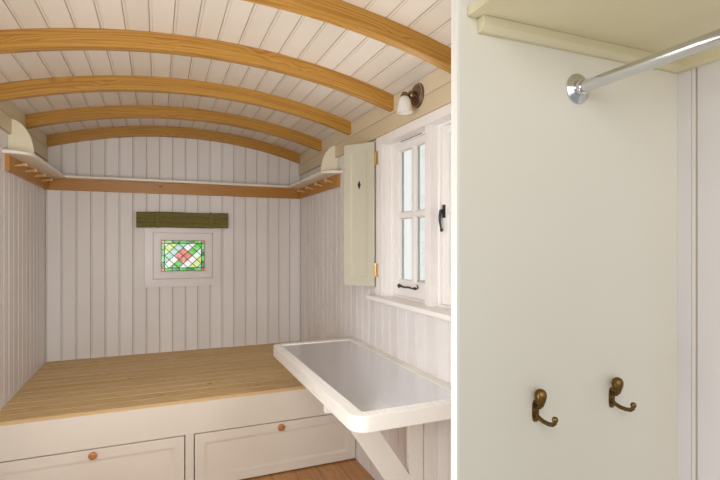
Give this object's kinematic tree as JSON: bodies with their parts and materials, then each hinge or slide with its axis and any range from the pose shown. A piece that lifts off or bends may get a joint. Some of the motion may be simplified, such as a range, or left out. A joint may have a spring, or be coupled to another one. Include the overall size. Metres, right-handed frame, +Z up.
{
  "type": "shepherds hut sleeping end",
  "caption": "Sleeping end of a shepherds hut: lined walls, bow roof, leaded end window, shuttered casements, bed with drawers, wall table and wardrobe partition",
  "frame": {"origin": "middle of the footprint on the ground, under the floor base and the roof's overhangs", "axes": "+X to the right when looking at the end wall from inside, +Y along the hut towards the end wall, +Z up"},
  "size_m": [2.22, 3.805, 2.4643],
  "materials": {
    "floor_base": "sawn",
    "oak_floor": "satin",
    "cladding_paint": "satin",
    "lining_paint": "eggshell",
    "ceiling_paint": "eggshell",
    "deck_ply": "sawn",
    "roof_steel": "satin",
    "bow_pine": "waxed",
    "rail_pine": "waxed",
    "shelf_paint": "eggshell",
    "window_paint": "satin",
    "leaded_glass": "gloss",
    "clear_glass": "gloss",
    "blind_cloth": "woven",
    "black_iron": "satin",
    "shutter_paint": "satin",
    "brass": "polished",
    "lamp_bronze": "satin",
    "frosted_glass": "frosted",
    "table_paint": "satin",
    "brushed_steel": "brushed",
    "joinery_paint": "satin",
    "plain_pine": "planed",
    "chrome": "polished"
  },
  "bodies": {
    "hut": {"floor_base": "floor_base", "floor_boards": "oak_floor", "end_wall": "cladding_paint", "left_wall": "cladding_paint", "right_wall": "cladding_paint", "end_lining": "lining_paint", "left_lining": "lining_paint", "right_lining": "lining_paint", "ceiling_boards": "ceiling_paint", "roof_deck": "deck_ply", "roof_sheet": "roof_steel", "friezes": "lining_paint", "bow_1": "bow_pine", "bow_2": "bow_pine", "bow_3": "bow_pine", "bow_4": "bow_pine", "bow_5": "bow_pine", "bow_6": "bow_pine", "bow_7": "bow_pine", "end_shelf": "shelf_paint", "left_shelf": "shelf_paint", "right_shelf": "shelf_paint", "end_shelf_rail": "rail_pine", "left_peg_rail": "rail_pine", "right_peg_rail": "rail_pine", "bookends": "shelf_paint", "end_window_frame": "window_paint", "end_window_glass": "leaded_glass", "window_blind": "blind_cloth", "blind_batten": "plain_pine", "side_window_frame": "window_paint", "side_window_architrave": "window_paint", "window_board": "window_paint", "left_casement": "window_paint", "right_casement": "window_paint", "casement_glass": "clear_glass", "casement_ironmongery": "black_iron", "shutter_hinge_plates": "brass", "lamp_mount": "lamp_bronze", "lamp_shade": "frosted_glass", "table_leaf": "table_paint", "table_steel": "brushed_steel", "table_battens": "table_paint", "bed_frame": "joinery_paint", "bed_deck": "plain_pine", "wardrobe_panel": "joinery_paint", "wardrobe_shelf": "joinery_paint", "wardrobe_battens": "joinery_paint", "hanging_rail": "chrome", "coat_hooks": "brass"},
    "left_shutter_leaf": {"left_shutter": "shutter_paint", "left_shutter_hinges": "brass"},
    "right_shutter_leaf": {"right_shutter": "shutter_paint", "right_shutter_hinges": "brass"},
    "bracket": {"table_bracket": "table_paint"},
    "left_drawer_box": {"left_drawer": "joinery_paint", "left_drawer_knob": "rail_pine"},
    "right_drawer_box": {"right_drawer": "joinery_paint", "right_drawer_knob": "rail_pine"}
  },
  "joints": [
    {"name": "left_shutter_hinge", "type": "hinge", "parent": "hut", "child": "left_shutter_leaf", "pos_m": [0.928, 0.1145, 1.6], "axis": [0, 0, 1], "range_deg": [0, 147]},
    {"name": "right_shutter_hinge", "type": "hinge", "parent": "hut", "child": "right_shutter_leaf", "pos_m": [0.928, -0.9495, 1.6], "axis": [0, 0, -1], "range_deg": [0, 147]},
    {"name": "bracket_swing", "type": "hinge", "parent": "hut", "child": "bracket", "pos_m": [0.9025, -0.4755, 0.56], "axis": [0, 0, 1], "range_deg": [0, 90]},
    {"name": "left_drawer_slide", "type": "slide", "parent": "hut", "child": "left_drawer_box", "axis": [0, -1, 0], "range_m": [0, 0.5]},
    {"name": "right_drawer_slide", "type": "slide", "parent": "hut", "child": "right_drawer_box", "axis": [0, -1, 0], "range_m": [0, 0.5]}
  ]
}
